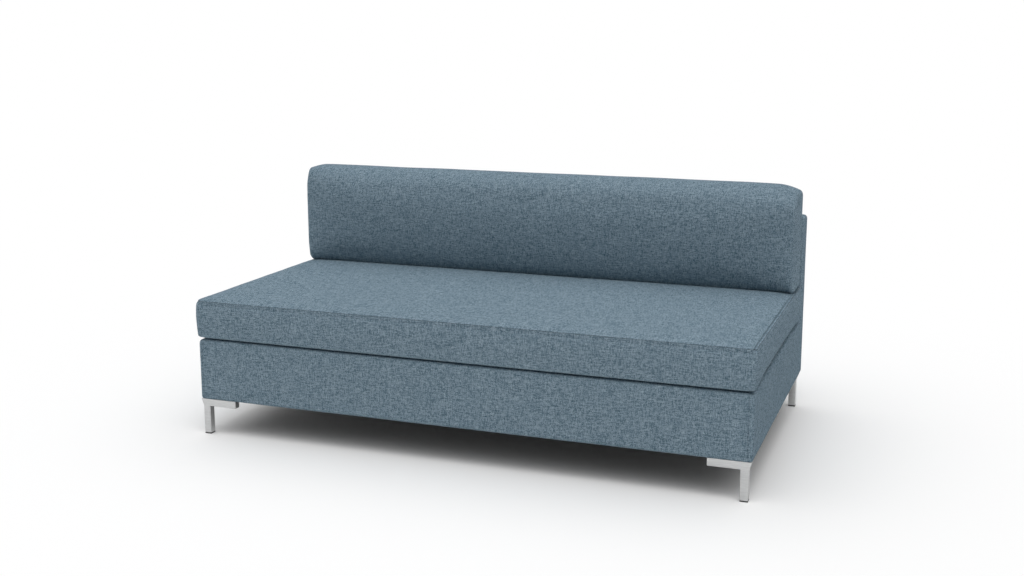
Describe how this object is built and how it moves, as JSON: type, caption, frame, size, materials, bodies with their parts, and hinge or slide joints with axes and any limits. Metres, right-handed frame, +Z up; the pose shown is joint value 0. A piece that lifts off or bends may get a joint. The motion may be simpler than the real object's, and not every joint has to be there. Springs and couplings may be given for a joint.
{
  "type": "armless sofa",
  "caption": "Armless sofa: padded base and low back on metal legs, with one long lift-off seat cushion and one long lift-off back cushion.",
  "frame": {"origin": "on the floor, under the middle of the sofa's outline", "axes": "+X along the sofa, towards the end on the viewer's right when facing its front; -Y out of the front; +Z up"},
  "size_m": [1.9382, 1.0922, 0.825],
  "materials": {
    "upholstery_cloth": "matte",
    "decking_cloth": "matte",
    "dust_cloth": "matte",
    "fibre_wadding": "matte",
    "foam": "matte",
    "fibreboard": "matte",
    "plywood": "matte",
    "leg_steel": "satin",
    "fixing_steel": "satin",
    "black_plastic": "satin",
    "webbing": "matte",
    "zip_tape": "matte",
    "zip_metal": "satin"
  },
  "bodies": {
    "frame": {"back_end_pad_left": "foam", "back_end_pad_right": "foam", "back_post_left": "plywood", "back_post_right": "plywood", "back_top_pad": "foam", "back_upright_left": "plywood", "back_upright_right": "plywood", "back_webbing": "webbing", "base_end_pad_left": "foam", "base_end_pad_right": "foam", "deck_cloth": "decking_cloth", "deck_felt": "fibre_wadding", "deck_foam": "foam", "dust_cover": "dust_cloth", "end_cover_left": "upholstery_cloth", "end_cover_right": "upholstery_cloth", "frame_screws": "fixing_steel", "front_cover": "upholstery_cloth", "front_pad": "foam", "front_rail": "plywood", "glide_front_left": "black_plastic", "glide_front_right": "black_plastic", "glide_rear_left": "black_plastic", "glide_rear_right": "black_plastic", "inside_back_cover": "upholstery_cloth", "inside_back_pad": "foam", "leg_block_front_left": "plywood", "leg_block_front_right": "plywood", "leg_block_rear_left": "plywood", "leg_block_rear_right": "plywood", "leg_bolts": "fixing_steel", "leg_front_left": "leg_steel", "leg_front_right": "leg_steel", "leg_rear_left": "leg_steel", "leg_rear_right": "leg_steel", "outside_back_board": "fibreboard", "outside_back_cover": "upholstery_cloth", "outside_back_pad": "fibre_wadding", "rear_rail": "plywood", "seat_springs": "fixing_steel", "side_rail_left": "plywood", "side_rail_right": "plywood", "spring_clips": "fixing_steel", "spring_rail": "plywood", "stretcher_left": "plywood", "stretcher_right": "plywood", "tack_rail": "plywood", "tee_nuts": "fixing_steel", "top_rail": "plywood"},
    "seat_cushion": {"seat_core": "foam", "seat_cover": "upholstery_cloth", "seat_wrap": "fibre_wadding", "seat_zip": "zip_tape"},
    "back_cushion": {"back_core": "foam", "back_cover": "upholstery_cloth", "back_wrap": "fibre_wadding", "back_zip": "zip_tape"},
    "seat_zip_slider": {"seat_zip_slider": "zip_metal"},
    "back_zip_slider": {"back_zip_slider": "zip_metal"}
  },
  "joints": [
    {"name": "seat_cushion_lift", "type": "slide", "parent": "frame", "child": "seat_cushion", "axis": [0, 0, 1], "range_m": [0, 0.4]},
    {"name": "back_cushion_lift", "type": "slide", "parent": "seat_cushion", "child": "back_cushion", "axis": [0, 0, 1], "range_m": [0, 0.3]},
    {"name": "seat_zip_pull", "type": "slide", "parent": "seat_cushion", "child": "seat_zip_slider", "axis": [-1, 0, 0], "range_m": [0, 1.484]},
    {"name": "back_zip_pull", "type": "slide", "parent": "back_cushion", "child": "back_zip_slider", "axis": [-1, 0, 0], "range_m": [0, 1.484]}
  ]
}
